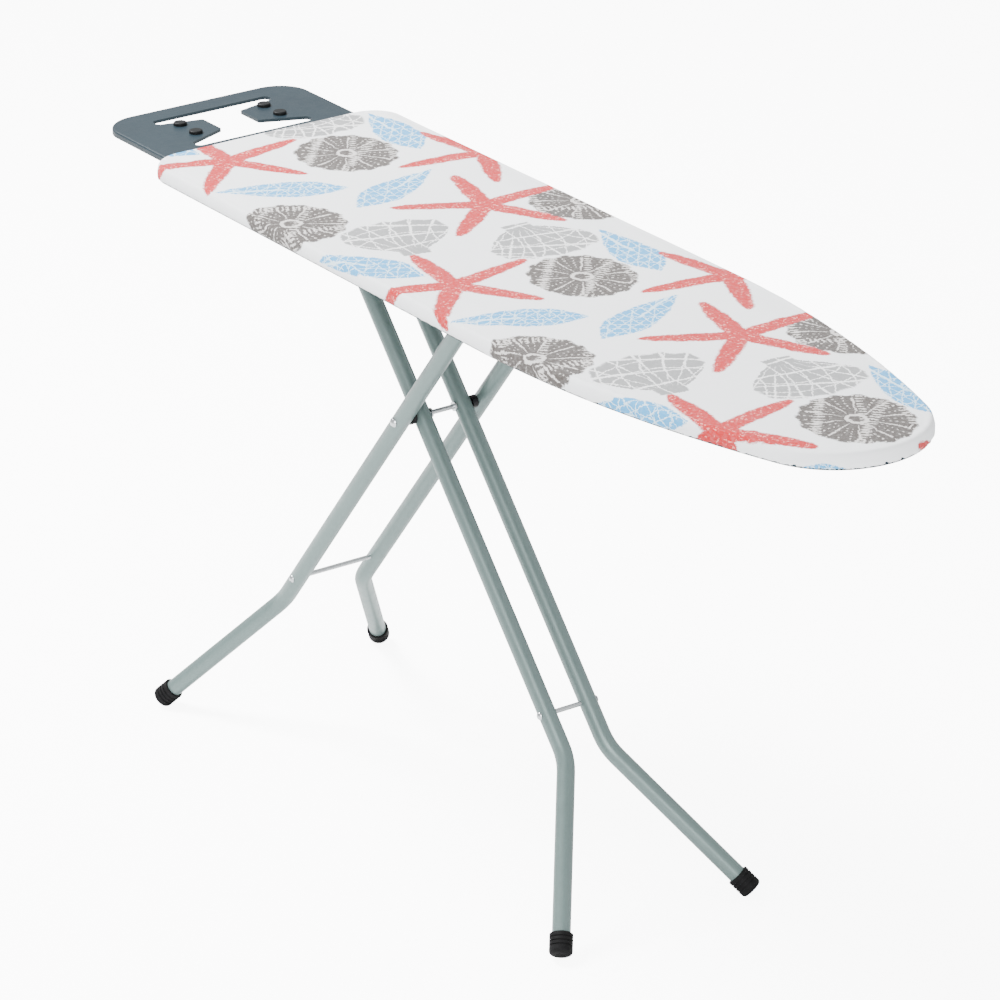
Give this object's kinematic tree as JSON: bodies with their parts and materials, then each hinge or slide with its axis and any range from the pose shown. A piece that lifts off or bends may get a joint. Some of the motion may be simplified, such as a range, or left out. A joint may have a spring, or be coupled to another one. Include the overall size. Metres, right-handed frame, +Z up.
{
  "type": "ironing board",
  "caption": "Folding ironing board with a printed cover, an iron rest at one end and two crossed pairs of splayed tube legs.",
  "frame": {"origin": "on the floor, under the middle of the outline", "axes": "+X towards the nose, +Y to the left of someone facing the nose, +Z up"},
  "size_m": [1.444, 0.354, 0.757],
  "materials": {
    "cotton_cover": "printed plain-weave cotton",
    "foam": "open-cell foam layer",
    "panel_paint": "satin powder coat, dark blue-grey",
    "leg_paint": "satin metallic powder coat, light grey-green",
    "zinc_steel": "bright zinc plate",
    "black_rubber": "ribbed, matt",
    "black_nylon": "moulded, satin",
    "black_silicone": "moulded, satin"
  },
  "bodies": {
    "board": {"fabric_cover": "cotton_cover", "foam_pad": "foam", "rim_corner_left": "panel_paint", "rim_corner_right": "panel_paint", "rim_side_left": "panel_paint", "rim_side_right": "panel_paint", "rim_taper_left": "panel_paint", "rim_taper_right": "panel_paint", "rim_nose": "panel_paint", "top_panel": "panel_paint", "iron_rest": "panel_paint", "rest_rivets": "zinc_steel", "rest_pad_1": "black_silicone", "rest_pad_2": "black_silicone", "rest_pad_3": "black_silicone", "rest_pad_4": "black_silicone", "hinge_bracket_left": "panel_paint", "hinge_bracket_right": "panel_paint", "hinge_rod": "zinc_steel", "hinge_rod_caps": "zinc_steel", "hinge_rivets": "zinc_steel", "rail_left": "panel_paint", "rail_right": "panel_paint", "rail_rivets": "zinc_steel", "lever_bracket": "panel_paint", "lever_pin": "zinc_steel", "lever_rivets": "zinc_steel", "lever_spring": "zinc_steel"},
    "release_lever_body": {"release_lever": "zinc_steel", "latch_plate": "zinc_steel", "lever_grip": "black_nylon"},
    "inner_legs": {"inner_leg_left": "leg_paint", "inner_leg_right": "leg_paint", "inner_foot_left": "black_rubber", "inner_foot_right": "black_rubber", "inner_brace": "zinc_steel", "inner_brace_heads": "zinc_steel", "inner_top_tube": "leg_paint", "hinge_bush_left": "black_nylon", "hinge_bush_right": "black_nylon"},
    "outer_legs": {"outer_leg_left": "leg_paint", "outer_leg_right": "leg_paint", "outer_foot_left": "black_rubber", "outer_foot_right": "black_rubber", "outer_brace": "zinc_steel", "outer_brace_heads": "zinc_steel", "slide_bar": "zinc_steel", "slide_roller_left": "black_nylon", "slide_roller_right": "black_nylon", "roller_stops": "zinc_steel", "pivot_rod": "zinc_steel", "pivot_heads": "zinc_steel", "pivot_spacer_left": "black_nylon", "pivot_spacer_right": "black_nylon", "pivot_push_washers": "zinc_steel"}
  },
  "joints": [
    {"name": "leg_fold", "type": "hinge", "parent": "board", "child": "inner_legs", "pos_m": [-0.33347, 0, 0.715], "axis": [0, 1, 0], "range_deg": [-46, 9]},
    {"name": "outer_fold", "type": "hinge", "parent": "inner_legs", "child": "outer_legs", "pos_m": [-0.157, 0, 0.512], "axis": [0, 1, 0], "range_deg": [-18, 92]},
    {"name": "lever_press", "type": "hinge", "parent": "board", "child": "release_lever_body", "pos_m": [0.11467, -0.064, 0.7358], "axis": [1, 0, 0], "range_deg": [0, 4], "stiffness_Nm_per_rad": 2, "springref_deg": -5.73, "deforming": ["lever_spring"]}
  ],
  "couplings": [
    {"joint": "outer_fold", "follows": "leg_fold", "ratio": -2}
  ]
}
